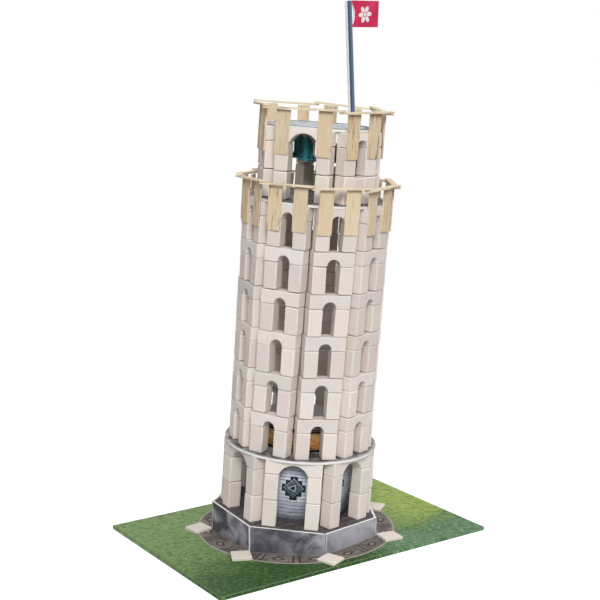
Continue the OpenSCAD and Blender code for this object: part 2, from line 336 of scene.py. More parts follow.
class Effects:
    """The shared effects, each built once."""

    def __init__(self) -> None:
        """Builds every effect."""
        self.grain = self._cast_grain()
        self.wear = self._edge_wear()
        self.fibre = self._card_fibre()
        self.wood = self._wood_grain()
        self.courses = self._stone_courses()
        self.mottle = self._print_mottle()

    @staticmethod
    def _cast_grain() -> bpy.types.NodeTree:
        """The sandy surface of a cast piece: soft clouds, small pits and a fine grain."""
        g = Draft("cast_grain", {"Pits": 0.5}, ("Cloud", "Pit", "Height"))
        at = g.given["Place"]
        cloud = g.noise(at, 0.16, 4.0, distortion=0.6)
        dents = g.noise(at, 0.55, 2.0)
        sand = g.noise(at, 3.2, 3.0)
        pit = g.product(g.rise(g.cells(at, 0.62), 0.24, 0.10), g.rise(cloud, 0.46, 0.62),
                        g.given["Pits"])
        height = g.math("MULTIPLY_ADD", sand, 0.35, g.math("MULTIPLY", dents, 0.6))
        return g.give(Cloud=g.rise(cloud, 0.32, 0.68), Pit=pit,
                      Height=g.math("SUBTRACT", height, pit))

    @staticmethod
    def _edge_wear() -> bpy.types.NodeTree:
        """Where rounded edges are rubbed: the edge mask, broken up by noise."""
        g = Draft("edge_wear", {"Edge": 0.0, "Amount": 0.5}, ("Wear",))
        broken = g.noise(g.given["Place"], 0.7, 3.0)
        shown = g.rise(g.math("MULTIPLY_ADD", g.given["Amount"], 0.4, broken), 0.55, 0.8)
        return g.give(Wear=g.product(g.given["Edge"], shown))

    @staticmethod
    def _card_fibre() -> bpy.types.NodeTree:
        """The fibres of pressed card: short flecks and a soft tooth."""
        g = Draft("card_fibre", {"Scale": 1.0}, ("Fleck", "Height"))
        at = g.scaled(g.given["Place"], g.given["Scale"])
        along = g.noise(at, 1.7, 3.0, stretch=(0.35, 2.0, 2.0))
        across = g.noise(at, 1.9, 3.0, stretch=(2.0, 0.4, 0.6))
        return g.give(Fleck=g.rise(g.union(along, across), 0.52, 0.72),
                      Height=g.math("MULTIPLY_ADD", g.noise(at, 5.0, 2.0), 0.5, along))

    @staticmethod
    def _wood_grain() -> bpy.types.NodeTree:
        """Grain that runs along z: fine pores, growth lines and a slow change of tone."""
        g = Draft("wood_grain", {"Lines": 0.5}, ("Line", "Pore", "Tone", "Height"))
        at = g.given["Place"]
        x, y, _ = g.split(at)
        bend = g.noise(at, 0.12, 2.0, stretch=(1, 1, 0.35))
        across = g.math("MULTIPLY_ADD", bend, 9.0, g.math("MULTIPLY_ADD", x, 0.55, y))
        wave = g.math("SINE", g.math("MULTIPLY", across, 3.1))
        line = g.product(g.rise(wave, 0.45, 1.0), g.given["Lines"])
        pore = g.rise(g.noise(at, 0.62, 4.0, stretch=(1.8, 1.8, 0.14)), 0.55, 0.66)
        height = g.math("MULTIPLY_ADD", line, -0.4, g.math("MULTIPLY", pore, -0.7))
        return g.give(Line=line, Pore=pore, Tone=g.noise(at, 0.09, 3.0, stretch=(1, 1, 0.3)),
                      Height=height)

    @staticmethod
    def _stone_courses() -> bpy.types.NodeTree:
        """Printed courses of stone: x runs along them and y up; each has its own shade."""
        g = Draft("stone_courses", {"Rise": 2.5, "Length": 9.0, "Gap": 0.3}, ("Joint", "Shade"))
        at, tall, long, gap = (g.given[name] for name in ("Place", "Rise", "Length", "Gap"))
        x, y, _ = g.split(at)
        sway = g.math("MULTIPLY_ADD", g.noise(at, 0.22, 2.0), 1.6, y)
        level = g.math("DIVIDE", sway, tall)
        row = g.math("FLOOR", level)
        shift = g.math("FRACT", g.math("MULTIPLY", row, 0.377))
        along = g.math("ADD", g.math("DIVIDE", x, long), shift)
        to_bed = g.math("MULTIPLY", g.math("PINGPONG", level, 0.5), tall)
        to_end = g.math("MULTIPLY", g.math("PINGPONG", along, 0.5), long)
        bed = g.rise(to_bed, g.math("MULTIPLY", gap, 1.8), gap)
        end = g.math("MULTIPLY", g.rise(to_end, gap, 0.1), 0.6)
        stone = g.joined(row, g.math("FLOOR", along))
        shade = g.node("ShaderNodeTexWhiteNoise", Vector=stone).outputs["Value"]
        return g.give(Joint=g.union(bed, end), Shade=shade)

    @staticmethod
    def _print_mottle() -> bpy.types.NodeTree:
        """The blotches of a printed stone picture: large clouds and small flecks."""
        g = Draft("print_mottle", {"Size": 10.0}, ("Cloud", "Fleck"))
        at = g.scaled(g.given["Place"], g.math("DIVIDE", 1.0, g.given["Size"]))
        return g.give(Cloud=g.rise(g.noise(at, 1.0, 5.0, distortion=0.6), 0.36, 0.64),
                      Fleck=g.rise(g.noise(at, 9.0, 3.0), 0.5, 0.7))


# ---------------------------------------------------------------- finishes


@dataclass(frozen=True)
class Finish:
    """A finish that becomes one material."""

    name: str
    roughness: float = 0.8
    bump_mm: float = 0.05
    specular: float = 0.35

    def paint(self, g: Graph, fx: Effects) -> tuple[Input, Input]:
        """Wires the pattern.

        Args:
            g: the material's graph.
            fx: the shared effects.

        Returns:
            The colour and the height, a number from 0 to 1.
        """
        raise NotImplementedError

    def settle(self, shader: bpy.types.Node) -> None:
        """Sets what is the same all over the surface."""
        shader.inputs["Roughness"].default_value = self.roughness
        shader.inputs["Specular IOR Level"].default_value = self.specular

    def make(self, fx: Effects) -> bpy.types.Material:
        """Builds the material, or returns the one that was built before.

        Args:
            fx: the shared effects.

        Returns:
            The material.
        """
        known = bpy.data.materials.get("finish_" + self.name)
        if known:
            return known
        made = bpy.data.materials.new("finish_" + self.name)
        made.use_nodes = True
        shader = made.node_tree.nodes["Principled BSDF"]
        g = Graph(made.node_tree)
        self.settle(shader)
        colour, height = self.paint(g, fx)
        g.feed(shader.inputs["Base Color"], colour)
        bump = g.node("ShaderNodeBump", Height=height, Strength=1.0, Distance=self.bump_mm * MM)
        g.feed(shader.inputs["Normal"], bump.outputs["Normal"])
        return made


@dataclass(frozen=True)
class CastFinish(Finish):
    """Cast brick or tile: pale, sandy, each solid in its own tone."""

    pale: Colour = (0.79, 0.717, 0.660)
    blush: Colour = (0.785, 0.680, 0.630)
    cream: Colour = (0.795, 0.728, 0.640)
    stain: Colour = (0.60, 0.50, 0.42)
    rubbed: Colour = (0.90, 0.88, 0.86)
    pits: float = 0.5

    def paint(self, g: Graph, fx: Effects) -> tuple[Input, Input]:
        """See Finish.paint."""
        at = g.own()
        first, second, third = g.chances()
        grain = g.effect(fx.grain, Place=at, Pits=self.pits)
        worn = g.effect(fx.wear, Place=at, Edge=g.edge(), Amount=0.6)["Wear"]
        colour = g.blend(g.rise(first, 0.25, 1.0), self.pale, self.blush)
        colour = g.tint(colour, g.rise(third, 0.45, 1.0), 0.8, self.cream)
        colour = g.tint(colour, grain["Cloud"], 0.10, self.stain)
        colour = g.tint(colour, grain["Pit"], 0.45, self.stain)
        colour = g.tint(colour, worn, 0.35, self.rubbed)
        return g.toned(colour, second, 0.91, 0.12), grain["Height"]


@dataclass(frozen=True)
class WoodFinish(Finish):
    """Pale sawn wood with its grain along z."""

    pale: Colour = (0.78, 0.65, 0.46)
    deep: Colour = (0.60, 0.43, 0.26)
    pore: Colour = (0.34, 0.21, 0.10)
    rubbed: Colour = (0.86, 0.77, 0.62)
    lines: float = 0.5

    def paint(self, g: Graph, fx: Effects) -> tuple[Input, Input]:
        """See Finish.paint."""
        at = g.own()
        first, second, third = g.chances()
        lines = g.math("MULTIPLY", self.lines, g.rise(third, 0.1, 0.9))
        grain = g.effect(fx.wood, Place=at, Lines=lines)
        worn = g.effect(fx.wear, Place=at, Edge=g.edge(), Amount=0.9)["Wear"]
        depth = g.math("MULTIPLY_ADD", first, 0.35, g.math("MULTIPLY", grain["Tone"], 0.3))
        colour = g.blend(depth, self.pale, self.deep)
        colour = g.tint(colour, grain["Line"], 0.65, self.deep)
        colour = g.tint(colour, grain["Pore"], g.math("MULTIPLY_ADD", lines, 1.3, 0.22), self.pore)
        colour = g.tint(colour, worn, 0.35, self.rubbed)
        return g.toned(colour, second, 0.95, 0.10), grain["Height"]


@dataclass(frozen=True)
class WireFinish(Finish):
    """Bright drawn wire."""

    dark: Colour = (0.52, 0.52, 0.53)
    light: Colour = (0.72, 0.72, 0.73)

    def settle(self, shader: bpy.types.Node) -> None:
        """See Finish.settle."""
        super().settle(shader)
        shader.inputs["Metallic"].default_value = 1.0

    def paint(self, g: Graph, fx: Effects) -> tuple[Input, Input]:
        """See Finish.paint."""
        at = g.node("ShaderNodeTexCoord").outputs["Object"]
        scratch = g.noise(at, 1500.0, 3.0)
        return g.blend(scratch, self.dark, self.light), scratch


@dataclass(frozen=True)
class RawCard(Finish):
    """The bare white cut edge of card, and its unprinted back."""

    colour: Colour = (0.83, 0.82, 0.80)

    def paint(self, g: Graph, fx: Effects) -> tuple[Input, Input]:
        """See Finish.paint."""
        fibre = g.effect(fx.fibre, Place=g.own(), Scale=2.0)
        darker = tuple(0.80 * part for part in self.colour)
        return g.tint(self.colour, fibre["Fleck"], 0.4, darker), fibre["Height"]


@dataclass(frozen=True)
class Print(Finish):
    """A picture printed on card, whose fibres show through it."""

    roughness: float = 0.7

    def picture(self, g: Graph, fx: Effects, at: Input) -> Input:
        """Wires the picture.

        Args:
            g: the material's graph.
            fx: the shared effects.
            at: the place in the piece's own frame, in millimetres.

        Returns:
            The colour.
        """
        raise NotImplementedError

    def paint(self, g: Graph, fx: Effects) -> tuple[Input, Input]:
        """See Finish.paint."""
        at = g.own()
        fibre = g.effect(fx.fibre, Place=at, Scale=1.5)
        return self.picture(g, fx, at), fibre["Height"]


@dataclass(frozen=True)
class GrassPrint(Print):
    """The baseboard's printed lawn, with a ring of paving round the plinth."""

    centre_mm: tuple[float, float] = (0.0, 0.0)
    ring_mm: float = 70.9
    eye_ring_mm: float = 62.8
    panel_turn: float = 22.5
    dark: Colour = (0.010, 0.046, 0.012)
    lawn: Colour = (0.058, 0.140, 0.032)
    pale: Colour = (0.200, 0.325, 0.115)
    sunny: Colour = (0.340, 0.465, 0.095)
    sea: Colour = (0.105, 0.235, 0.135)
    blade: Colour = (0.36, 0.48, 0.17)
    dim_blade: Colour = (0.13, 0.25, 0.035)
    paving: Colour = (0.120, 0.098, 0.086)
    pale_paving: Colour = (0.27, 0.235, 0.21)
    ink: Colour = (0.030, 0.020, 0.018)
    oval: Colour = (0.38, 0.34, 0.29)
    groove: Colour = (0.06, 0.045, 0.04)
    rim: Colour = (0.45, 0.45, 0.38)
    rubbed: Colour = (0.55, 0.58, 0.50)

    def lawn_colour(self, g: Graph, at: Input) -> Input:
        """The lawn: dark in front, sunlit to the right and the back, blue-green at the right corner.

        Args:
            g: the material's graph.
            at: the place in millimetres.

        Returns:
            The colour.
        """
        x, y, _ = g.split(at)
        patch = g.math("SUBTRACT", g.noise(at, 0.035, 3.0, distortion=1.0), 0.5)
        far = g.math("MULTIPLY_ADD", patch, 50.0, y)
        right = g.math("MULTIPLY_ADD", patch, -60.0, x)
        colour = g.blend(g.rise(far, -78.0, 62.0), self.lawn, self.pale)
        lit = g.product(g.rise(right, 28.0, 88.0), g.rise(far, -58.0, -18.0))
        colour = g.blend(lit, colour, self.sunny)
        cool = g.product(g.rise(right, -5.0, 45.0), g.rise(far, -35.0, -62.0))
        colour = g.blend(cool, colour, self.sea)
        shade = g.product(g.rise(far, -10.0, -58.0), g.band(x, -50.0, 42.0, 50.0))
        colour = g.tint(colour, shade, 0.77, self.dark)
        along = g.math("MULTIPLY_ADD", x, 0.82, g.math("MULTIPLY", y, -0.57))
        across = g.math("MULTIPLY_ADD", x, 0.57, g.math("MULTIPLY", y, 0.82))
        blades = g.joined(along, across)
        tuft = g.noise(blades, 0.44, 6.0, stretch=(0.42, 1.1, 1.0), distortion=0.8)
        fleck = g.noise(blades, 0.70, 5.0, stretch=(0.45, 1.15, 1.0))
        depth = g.math("MULTIPLY_ADD", shade, 0.30, 0.55)
        colour = g.tint(colour, g.rise(tuft, 0.54, 0.38), depth, self.dark)
        light = g.blend(shade, self.blade, self.dim_blade)
        return g.tint(colour, g.rise(fleck, 0.50, 0.62), 0.55, light)

    def ring(self, g: Graph, fx: Effects, at: Input) -> tuple[Input, Input]:
        """The ring of paving: brown panels with ovals and double bars inside a pale line.

        Args:
            g: the material's graph.
            fx: the shared effects.
            at: the place in millimetres.

        Returns:
            The ring's colour and its mask.
        """
        x, y, _ = g.split(at)
        dx = g.math("SUBTRACT", x, self.centre_mm[0])
        dy = g.math("SUBTRACT", y, self.centre_mm[1])
        radius = g.length(dx, dy)
        turn = g.math("MULTIPLY", g.math("ARCTAN2", dy, dx), 180.0 / math.pi)
        panel = g.math("WRAP", turn, self.panel_turn / 2, -self.panel_turn / 2)
        along = g.math("ABSOLUTE", g.math("MULTIPLY", panel, math.radians(62.0)))
        across = g.math("ABSOLUTE", g.math("SUBTRACT", radius, self.eye_ring_mm))
        mottle = g.effect(fx.mottle, Place=at, Size=6.0)
        colour = g.tint(self.paving, mottle["Cloud"], 0.7, self.pale_paving)
        bars = g.product(g.band(along, 10.1, 0.5, 0.2), g.rise(radius, 56.0, 57.5),
                         g.rise(radius, 68.5, 67.5))
        reach = g.math("ADD", g.math("DIVIDE", along, 5.2),
                       g.math("POWER", g.math("DIVIDE", across, 3.2), 1.3))
        colour = g.tint(colour, g.union(bars, g.rise(reach, 1.0, 0.9)), 0.9, self.ink)
        colour = g.tint(colour, g.rise(reach, 0.52, 0.40), 0.8, self.oval)
        grooves = g.band(g.math("PINGPONG", g.math("ADD", radius, 0.8), 2.6), 0.0, 0.12, 0.2)
        colour = g.tint(colour, grooves, 0.35, self.groove)
        colour = g.tint(colour, g.band(radius, self.ring_mm - 1.0, 0.45, 0.3), 0.75, self.rim)
        return colour, g.rise(radius, self.ring_mm + 0.2, self.ring_mm - 0.2)

    def picture(self, g: Graph, fx: Effects, at: Input) -> Input:
        """See Print.picture."""
        worn = g.effect(fx.wear, Place=at, Edge=g.edge(), Amount=0.25)["Wear"]
        ring, inside = self.ring(g, fx, at)
        up = g.rise(g.split(at)[2], 2.2, 2.5)
        colour = g.blend(g.product(inside, up), self.lawn_colour(g, at), ring)
        return g.tint(colour, worn, 0.5, self.rubbed)


@dataclass(frozen=True)
class PlinthPrint(Print):
    """The plinth wall's blotched stone, with bare folds.

    own_mm is (run round the wall, height, depth).
    """

    side_mm: float = 50.0
    dark: Colour = (0.068, 0.068, 0.088)
    light: Colour = (0.420, 0.410, 0.450)
    lilac: Colour = (0.380, 0.310, 0.390)
    sunlit: Colour = (0.50, 0.50, 0.54)
    bare: Colour = (0.80, 0.79, 0.80)

    def picture(self, g: Graph, fx: Effects, at: Input) -> Input:
        """See Print.picture."""
        run, height, _ = g.split(at)
        side = self.side_mm
        mottle = g.effect(fx.mottle, Place=g.joined(run, height), Size=15.0)
        colour = g.blend(mottle["Cloud"], self.dark, self.light)
        colour = g.tint(colour, mottle["Fleck"], 0.30, self.lilac)
        colour = g.tint(colour, g.rise(height, 9.0, 0.0), 0.45, self.dark)
        bright = g.band(run, 1.6 * side, 0.30 * side, 0.35 * side)
        colour = g.tint(colour, bright, 0.55, self.sunlit)
        shaded = g.band(run, 0.25 * side, 0.16 * side, 0.25 * side)
        colour = g.tint(colour, shaded, 0.65, self.dark)
        to_fold = g.math("MULTIPLY", g.math("PINGPONG", g.math("DIVIDE", run, side), 0.5), side)
        crack = g.math("MULTIPLY", g.noise(at, 0.9, 2.0), 0.55)
        fold = g.rise(to_fold, g.math("ADD", crack, 0.52), crack)
        return g.tint(colour, fold, 0.95, self.bare)


@dataclass(frozen=True)
class PavedPrint(Print):
    """Dark paving printed on a sheet, in courses with dark joints."""

    stone: Colour = (0.070, 0.058, 0.060)
    light: Colour = (0.170, 0.150, 0.150)
    joint: Colour = (0.025, 0.020, 0.022)

    def picture(self, g: Graph, fx: Effects, at: Input) -> Input:
        """See Print.picture."""
        laid = g.effect(fx.courses, Place=at, Rise=7.0, Length=11.0, Gap=0.35)
        mottle = g.effect(fx.mottle, Place=at, Size=7.0)
        shade = g.math("MULTIPLY_ADD", laid["Shade"], 0.45, g.math("MULTIPLY", mottle["Cloud"], 0.5))
        colour = g.blend(shade, self.stone, self.light)
        colour = g.tint(colour, mottle["Fleck"], 0.3, self.joint)
        return g.tint(colour, laid["Joint"], 0.8, self.joint)


@dataclass(frozen=True)
class DrumPrint(Print):
    """Wavy courses of grey-blue stone with a stepped lozenge in each bay.

    own_mm is (run round the drum, height above the plinth, radius).
    """

    bay_mm: float = 33.0
    first_bay_mm: float = 0.0
    lozenge_z_mm: float = 24.0
    steps_mm: tuple[tuple[float, float], ...] = ((2.8, 8.6), (5.8, 5.9), (8.4, 2.7))
    dark: Colour = (0.040, 0.055, 0.085)
    pale: Colour = (0.82, 0.85, 0.93)
    grey: Colour = (0.52, 0.57, 0.69)
    warm: Colour = (0.60, 0.60, 0.75)
    step: Colour = (0.010, 0.016, 0.024)
    deep_diamond: Colour = (0.050, 0.085, 0.095)
    pale_diamond: Colour = (0.170, 0.220, 0.230)
    triangle: Colour = (0.006, 0.006, 0.008)
    line: Colour = (0.62, 0.66, 0.70)

    def lozenge(self, g: Graph, x: Input, y: Input) -> tuple[Input, Input, Input, Input]:
        """The stepped lozenge.

        Args:
            g: the material's graph.
            x: across the lozenge from its middle, in millimetres.
            y: up from its middle, in millimetres.

        Returns:
            Masks of the steps, the diamond inside them, the light lines and the triangle.
        """
        wide, tall = g.math("ABSOLUTE", x), g.math("ABSOLUTE", y)
        steps = g.union(*(g.product(g.rise(wide, w, w - 0.3), g.rise(tall, h, h - 0.3))
                          for w, h in self.steps_mm))
        edges = g.union(*(g.product(g.rise(wide, w + 0.7, w + 0.3), g.rise(tall, h + 0.6, h + 0.2))
                          for w, h in self.steps_mm))
        shape = g.math("ADD", wide, tall)
        outline = g.product(g.band(shape, 6.9, 0.08, 0.25), g.rise(y, -2.0, 0.5))
        leg = g.math("MULTIPLY", g.math("ADD", x, 3.2), 0.46)
        from_leg = g.math("SUBTRACT", tall, leg)
        inside = g.product(g.rise(from_leg, 0.1, -0.1), g.rise(x, 0.9, 0.7))
        halo = g.product(g.rise(from_leg, 0.65, 0.45), g.rise(x, 1.4, 1.2))
        line = g.union(outline, g.math("SUBTRACT", halo, inside, clamp=True))
        pale_rim = g.math("MULTIPLY", g.math("SUBTRACT", edges, steps, clamp=True), 0.35)
        return steps, g.rise(shape, 7.1, 6.8), g.union(line, pale_rim), inside

    def picture(self, g: Graph, fx: Effects, at: Input) -> Input:
        """See Print.picture."""
        run, height, _ = g.split(at)
        flat = g.joined(run, height)
        laid = g.effect(fx.courses, Place=flat, Rise=2.5, Length=12.0, Gap=0.13)
        mottle = g.effect(fx.mottle, Place=flat, Size=11.0)
        colour = g.blend(mottle["Cloud"], self.grey, self.warm)
        colour = g.tint(colour, laid["Shade"], 0.7, self.pale)
        colour = g.tint(colour, g.rise(height, 5.0, 0.0), 0.6, self.dark)
        worn = g.rise(g.noise(flat, 0.5, 3.0, stretch=(0.4, 1.0, 1.0)), 0.30, 0.55)
        colour = g.tint(colour, laid["Joint"], g.math("MULTIPLY_ADD", worn, 0.6, 0.35), self.dark)
        x = g.math("WRAP", g.math("SUBTRACT", run, self.first_bay_mm), self.bay_mm / 2,
                   -self.bay_mm / 2)
        y = g.math("SUBTRACT", height, self.lozenge_z_mm)
        steps, diamond, lines, triangle = self.lozenge(g, x, y)
        inner = g.blend(mottle["Fleck"], self.deep_diamond, self.pale_diamond)
        centre = g.blend(diamond, self.step, inner)
        centre = g.blend(triangle, centre, self.triangle)
        colour = g.blend(steps, colour, centre)
        return g.tint(colour, lines, 0.75, self.line)


@dataclass(frozen=True)
class SleevePrint(Print):
    """Orange-brown boards between black bands: own_mm is (run, height above the plinth, radius)."""

    foot_mm: float = 0.0
    board: Colour = (0.62, 0.26, 0.07)
    bright_board: Colour = (0.85, 0.47, 0.16)
    gap: Colour = (0.22, 0.08, 0.03)
    glint: Colour = (0.95, 0.72, 0.34)
    band: Colour = (0.018, 0.014, 0.014)
    line: Colour = (0.55, 0.50, 0.46)

    def picture(self, g: Graph, fx: Effects, at: Input) -> Input:
        """See Print.picture."""
        run, above, _ = g.split(at)
        height = g.math("SUBTRACT", above, self.foot_mm)
        flat = g.joined(run, height)
        mottle = g.effect(fx.mottle, Place=flat, Size=9.0)
        streak = g.noise(flat, 0.55, 4.0, stretch=(0.3, 2.2, 1.0), distortion=0.4)
        colour = g.blend(mottle["Cloud"], self.board, self.bright_board)
        colour = g.blend(g.rise(streak, 0.52, 0.66), colour, self.gap)
        colour = g.tint(colour, g.rise(streak, 0.44, 0.34), 0.7, self.glint)
        bands = g.union(g.rise(height, 13.2, 13.5), g.rise(height, 1.9, 1.5))
        colour = g.blend(bands, colour, self.band)
        lines = g.union(g.band(height, 12.6, 0.25, 0.15), g.band(height, 15.0, 0.3, 0.2))
        return g.tint(colour, lines, 0.6, self.line)


@dataclass(frozen=True)
class Tones:
    """The three tones of a disc: a dark and a light print tone, and a third tone that gives the slab
    its printed joints and rim line, paints shade inside the marble disc's rim, and darkens a ragged
    band near the roof's rim.
    """

    dark: Colour
    light: Colour
    line: Colour


class DiscLook(Enum):
    """The pictures printed on the discs; the marble disc also carries painted shade inside its rim."""

    # MARBLE's third tone is painted shade, laid inside the disc's rim.
    MARBLE = Tones((0.30, 0.29, 0.29), (0.52, 0.50, 0.49), (0.035, 0.028, 0.026))
    SLAB = Tones((0.060, 0.055, 0.055), (0.20, 0.18, 0.17), (0.62, 0.60, 0.56))
    ROOF = Tones((0.38, 0.42, 0.46), (0.60, 0.65, 0.70), (0.025, 0.035, 0.055))


@dataclass(frozen=True)
class DiscPrint(Print):
    """A printed disc top: own_mm is the place across the tower."""

    look: DiscLook = DiscLook.MARBLE
    radius_mm: float = 50.0

    def picture(self, g: Graph, fx: Effects, at: Input) -> Input:
        """See Print.picture."""
        tones = self.look.value
        x, y, _ = g.split(at)
        mottle = g.effect(fx.mottle, Place=at, Size=8.0)
        radius = g.length(x, y)
        colour = g.blend(mottle["Cloud"], tones.dark, tones.light)
        colour = g.tint(colour, mottle["Fleck"], 0.35, tones.dark)
        if self.look is DiscLook.MARBLE:
            # Painted shade: inside its rim the marble disc is darkened towards its third tone, less
            # where the mottle is light.
            inner = g.rise(radius, self.radius_mm - 1.5, self.radius_mm - 2.6)
            shadow = g.math("MULTIPLY_ADD", mottle["Cloud"], -0.5, 0.85)
            return g.tint(colour, inner, shadow, tones.line)
        if self.look is DiscLook.SLAB:
            laid = g.effect(fx.courses, Place=at, Rise=6.5, Length=12.0, Gap=0.3)
            colour = g.tint(colour, laid["Joint"], 0.8, tones.line)
            rim = g.band(radius, self.radius_mm - 2.6, 0.55, 0.3)
        else:
            # The roof: a wide dark ragged band just inside the rim.
            ragged = g.math("MULTIPLY_ADD", mottle["Cloud"], 1.5, radius)
            rim = g.band(ragged, self.radius_mm - 5.5, 1.9, 0.4)
        return g.tint(colour, rim, 0.85, tones.line)


@dataclass(frozen=True)
class BellPrint(Print):
    """A bell printed on card: own_mm is (across, depth, height from the pivot)."""

    deep: Colour = (0.005, 0.060, 0.085)
    teal: Colour = (0.018, 0.200, 0.255)
    shine: Colour = (0.06, 0.42, 0.48)
    side: Colour = (0.003, 0.018, 0.025)
    band: Colour = (0.06, 0.30, 0.31)

    def picture(self, g: Graph, fx: Effects, at: Input) -> Input:
        """See Print.picture."""
        across, _, height = g.split(at)
        mottle = g.effect(fx.mottle, Place=at, Size=5.0)
        colour = g.blend(mottle["Cloud"], self.deep, self.teal)
        colour = g.tint(colour, g.band(across, -1.6, 0.7, 1.8), 0.6, self.shine)
        colour = g.tint(colour, g.rise(g.math("ABSOLUTE", across), 3.4, 6.0), 0.45, self.side)
        bands = g.union(g.band(height, -12.9, 0.22, 0.15), g.band(height, -15.6, 0.3, 0.2))
        return g.tint(colour, bands, 0.7, self.band)


@dataclass(frozen=True)
class FlagPrint(Print):
    """Crimson flag with a pale rosette beside a slate-blue pole.

    own_mm is (from the pole's middle towards the fly, down from the pole's top, depth).
    """

    pole_half_mm: float = 2.3
    rosette_mm: tuple[float, float] = (13.2, 9.6)
    petals: int = 6
    crimson: Colour = (0.56, 0.018, 0.075)
    bright_crimson: Colour = (0.68, 0.040, 0.125)
    pale: Colour = (0.80, 0.78, 0.77)
    pole_dark: Colour = (0.040, 0.070, 0.140)
    pole_light: Colour = (0.130, 0.190, 0.290)
    pole_edge: Colour = (0.80, 0.80, 0.80)
    pole_fleck: Colour = (0.04, 0.07, 0.12)

    def rosette(self, g: Graph, out: Input, down: Input) -> Input:
        """The rosette's mask: petals with gaps between them and a ring round the heart.

        Args:
            g: the material's graph.
            out: towards the fly, in millimetres.
            down: from the pole's top, in millimetres.

        Returns:
            The mask.
        """
        dx = g.math("SUBTRACT", out, self.rosette_mm[0])
        dy = g.math("SUBTRACT", down, self.rosette_mm[1])
        radius = g.length(dx, dy)
        turn = g.math("ARCTAN2", dy, dx)
        lobe = g.math("ABSOLUTE", g.math("COSINE", g.math("MULTIPLY", turn, self.petals / 2)))
        reach = g.math("MULTIPLY_ADD", g.math("POWER", lobe, 0.8), 3.6, 1.9)
        petal = g.rise(g.math("SUBTRACT", radius, reach), 0.15, -0.15)
        gap = g.product(g.rise(lobe, 0.18, 0.10), g.rise(radius, 1.7, 1.9))
        heart = g.band(radius, 1.5, 0.18, 0.15)
        return g.product(petal, g.math("SUBTRACT", 1.0, g.union(gap, heart)))

    def picture(self, g: Graph, fx: Effects, at: Input) -> Input:
        """See Print.picture."""
        out, down, _ = g.split(at)
        mottle = g.effect(fx.mottle, Place=at, Size=12.0)
        cloth = g.blend(mottle["Cloud"], self.crimson, self.bright_crimson)
        cloth = g.blend(self.rosette(g, out, down), cloth, self.pale)
        pole = g.blend(g.rise(out, -1.4, 1.9), self.pole_dark, self.pole_light)
        pole = g.blend(g.rise(out, -1.45, -1.6), pole, self.pole_edge)
        pole = g.tint(pole, mottle["Fleck"], 0.25, self.pole_fleck)
        is_flag = g.rise(out, self.pole_half_mm - 0.05, self.pole_half_mm + 0.05)
        return g.blend(is_flag, pole, cloth)


# ---------------------------------------------------------------- meshes


class Gathering:
    """Collects small meshes into one object, with the attributes that the finishes read."""

    def __init__(self, name: str) -> None:
        """Starts an empty object.

        Args:
            name: the piece's name.
        """
        self.name = name
        self.bm = bmesh.new()
        self.own = self.bm.loops.layers.float_vector.new(OWN)
        self.chance = self.bm.faces.layers.float_vector.new(CHANCE)
        self.edge = self.bm.faces.layers.float.new(EDGE)

    def add(self, solid: bmesh.types.BMesh, rounded: set[int], own: OwnFrame, chance: Vector,
            slot_of: Callable[[bmesh.types.BMFace], int] | None = None) -> None:
        """Copies a mesh in.

        Args:
            solid: the mesh, in its place.
            rounded: the indices of its faces that are rounded edges.
            own: turns a place into the piece's own coordinates, in metres.
            chance: the solid's random numbers.
            slot_of: gives a face's material index, or None for the first material.
        """
        solid.verts.index_update()
        copied = [self.bm.verts.new(vert.co) for vert in solid.verts]
        for face in solid.faces:
            made = self.bm.faces.new([copied[vert.index] for vert in face.verts])
            made.smooth = face.smooth
            made.material_index = slot_of(face) if slot_of else 0
            made[self.chance] = chance
            made[self.edge] = 1.0 if face.index in rounded else 0.0
            for loop in made.loops:
                loop[self.own] = own(loop.vert.co) / MM

    def finish(self, finishes: Iterable[Finish], fx: Effects, nodes: Iterable[str], body: str,
               slot: str) -> bpy.types.Object:
        """Makes the object, dresses it and puts it on its body.

        Args:
            finishes: its materials, in the order of their indices.
            fx: the shared effects.
            nodes: the CAD nodes that it stands for.
            body: the CAD body that it rides on.
            slot: the record's material slot, which is not used.

        Returns:
            The object.
        """
        mesh = bpy.data.meshes.new(self.name)
        self.bm.to_mesh(mesh)
        self.bm.free()
        made = bpy.data.objects.new(self.name, mesh)
        bpy.context.scene.collection.objects.link(made)
        for finish in finishes:
            mesh.materials.append(finish.make(fx))
        return place(made, nodes, body)


def place(piece: bpy.types.Object, nodes: Iterable[str], body: str) -> bpy.types.Object:
    """Puts a finished piece on its body and logs it.

    Args:
        piece: the piece.
        nodes: the CAD nodes that it stands for.
        body: the CAD body that it rides on.

    Returns:
        The piece.
    """
    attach(piece, body)
    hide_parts(*nodes)
    LOG.info("%s rides on %s", piece.name, body)
    return piece


def welded(node: str) -> bmesh.types.BMesh:
    """A copy of a CAD node's mesh with its corners welded and its flat areas whole.

    Args:
        node: the CAD node's name.

    Returns:
        The copy.
    """
    made = bmesh.new()
    made.from_mesh(frame["nodes"][node].data)
    bmesh.ops.remove_doubles(made, verts=made.verts, dist=1e-6)
    bmesh.ops.dissolve_limit(made, angle_limit=math.radians(0.4), verts=made.verts,
                             edges=made.edges)
    return made


